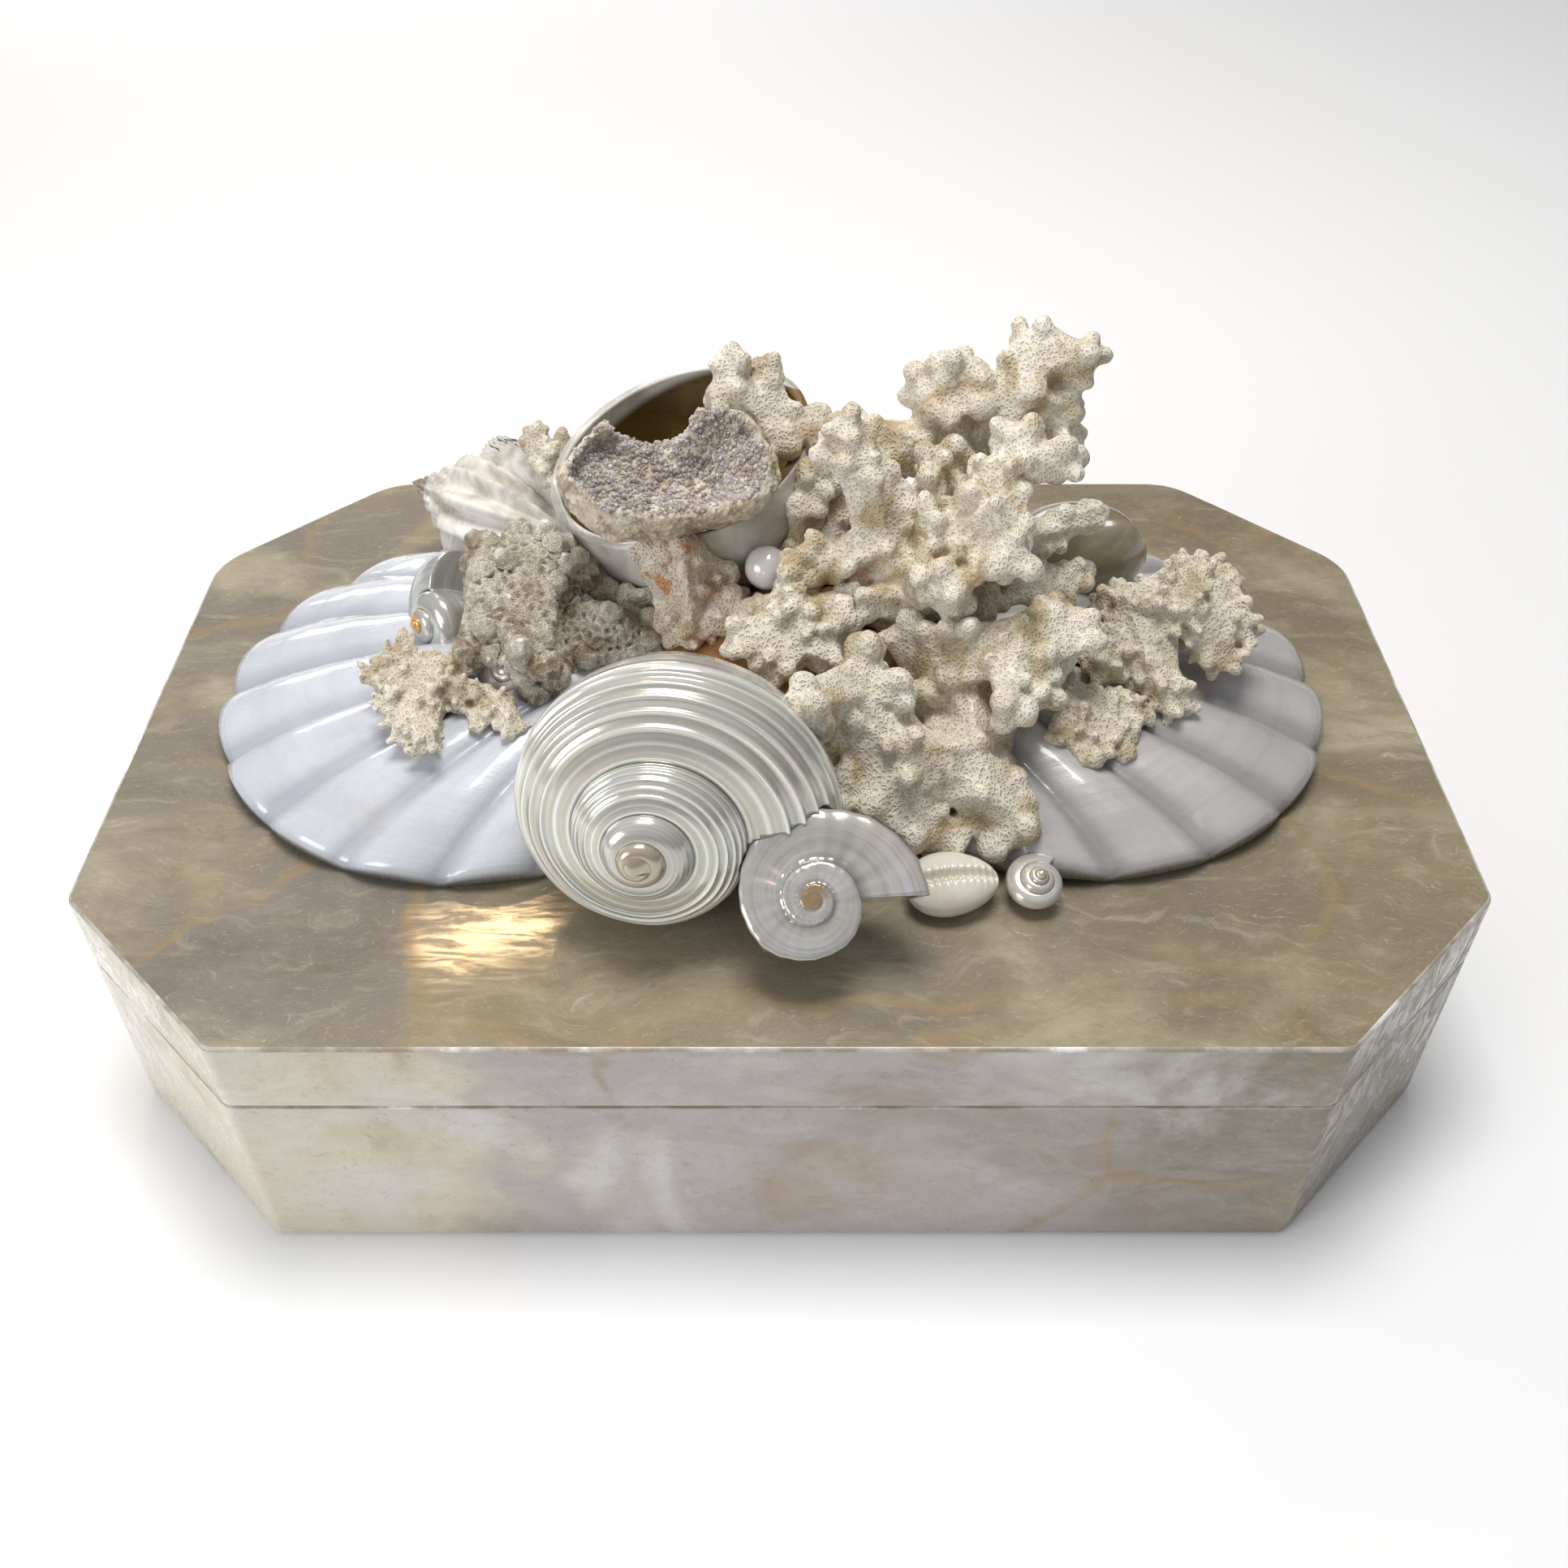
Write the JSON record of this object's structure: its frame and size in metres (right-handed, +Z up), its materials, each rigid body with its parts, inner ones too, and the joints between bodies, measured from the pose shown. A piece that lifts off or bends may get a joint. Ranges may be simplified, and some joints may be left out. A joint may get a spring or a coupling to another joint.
{
  "type": "shell box",
  "caption": "Octagonal lidded box veneered in glossy pale shell, its lift-off lid crowned by a heap of pearly shells, white coral, scallops and a small geode.",
  "frame": {"origin": "centre of the box's underside, on the surface it rests on", "axes": "+Z up, +X along the box's length to the right, -Y towards the front with the pearled turban shell"},
  "size_m": [0.32, 0.214, 0.1593],
  "materials": {
    "shell_veneer": "lacquered capiz shell veneer over wood",
    "white_shell": "natural shell, soft gloss",
    "pearly_shell": "polished mother of pearl",
    "olive_shell": "natural shell, glossy",
    "pearl": "pearl lustre",
    "geode": "sandy crust outside, druzy crystals inside",
    "coral": "dry, matt and pitted",
    "glue": "amber resin glue"
  },
  "bodies": {
    "root": {"box_tray": "shell_veneer", "box_lid": "shell_veneer", "glue_bed": "glue", "scallop_left": "white_shell", "scallop_right": "white_shell", "cowrie": "white_shell", "whelk": "white_shell", "turban_shell": "pearly_shell", "spiral_shell": "pearly_shell", "top_shell": "pearly_shell", "mouth_shell": "pearly_shell", "gold_tip_turban": "pearly_shell", "pink_shell": "pearly_shell", "olive_shell": "olive_shell", "pearl": "pearl", "geode": "geode", "coral_tall": "coral", "coral_bush": "coral", "coral_front": "coral", "coral_right": "coral", "coral_right_low": "coral", "coral_centre": "coral", "coral_behind_pearl": "coral", "coral_stained": "coral", "coral_mid_left": "coral", "coral_mouth": "coral", "coral_honeycomb": "coral", "coral_left_low": "coral", "coral_back_left": "coral"}
  },
  "joints": []
}
